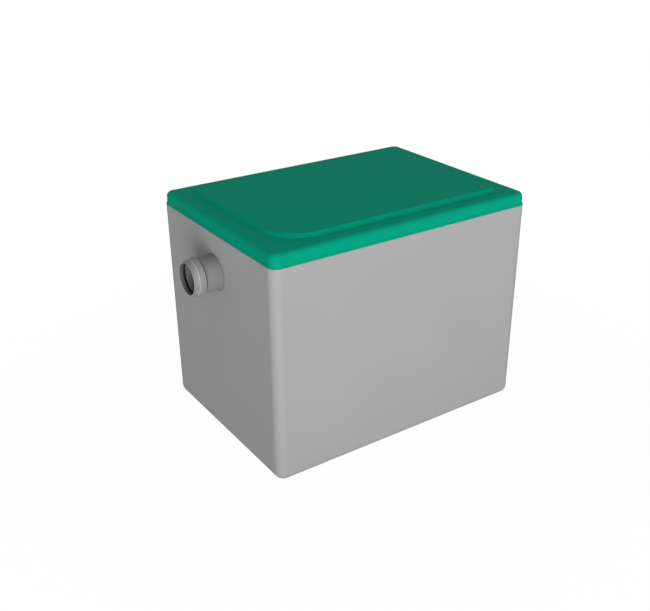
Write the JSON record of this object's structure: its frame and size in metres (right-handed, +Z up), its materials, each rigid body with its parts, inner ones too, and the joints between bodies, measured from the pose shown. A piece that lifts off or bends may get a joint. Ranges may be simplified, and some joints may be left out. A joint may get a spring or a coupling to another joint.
{
  "type": "grease trap",
  "caption": "Low rectangular grease trap: a grey moulded tank with a push-fit drain socket at each end, baffles and upright pipes inside, and a green lift-off lid with a raised panel.",
  "frame": {"origin": "bottom centre of the tank, on the surface that it stands on", "axes": "+Z up, +X from the inlet end to the outlet end, +Y across the tank"},
  "size_m": [0.5992, 0.36, 0.396],
  "materials": {
    "tank_plastic": "satin moulded grey",
    "lid_plastic": "semi-gloss moulded green",
    "socket_plastic": "satin moulded grey",
    "pipe_plastic": "smooth drain pipe grey",
    "baffle_plastic": "satin sheet plastic",
    "seal_rubber": "matt black rubber"
  },
  "bodies": {
    "tank": {"tank_shell": "tank_plastic", "rim_gasket": "seal_rubber", "inlet_socket": "socket_plastic", "inlet_socket_cap": "socket_plastic", "inlet_lip_seal": "seal_rubber", "inlet_back_nut": "pipe_plastic", "inlet_tee": "pipe_plastic", "inlet_upright_pipe": "pipe_plastic", "inlet_baffle_rail_front": "baffle_plastic", "inlet_baffle_rail_back": "baffle_plastic", "inlet_baffle": "baffle_plastic", "outlet_socket": "socket_plastic", "outlet_socket_cap": "socket_plastic", "outlet_lip_seal": "seal_rubber", "outlet_back_nut": "pipe_plastic", "outlet_tee": "pipe_plastic", "outlet_upright_pipe": "pipe_plastic", "outlet_baffle_rail_front": "baffle_plastic", "outlet_baffle_rail_back": "baffle_plastic", "outlet_baffle": "baffle_plastic"},
    "lid": {"lid": "lid_plastic"}
  },
  "joints": [
    {"name": "lid_lift", "type": "slide", "parent": "tank", "child": "lid", "axis": [0, 0, 1], "range_m": [0, 0.4]}
  ]
}
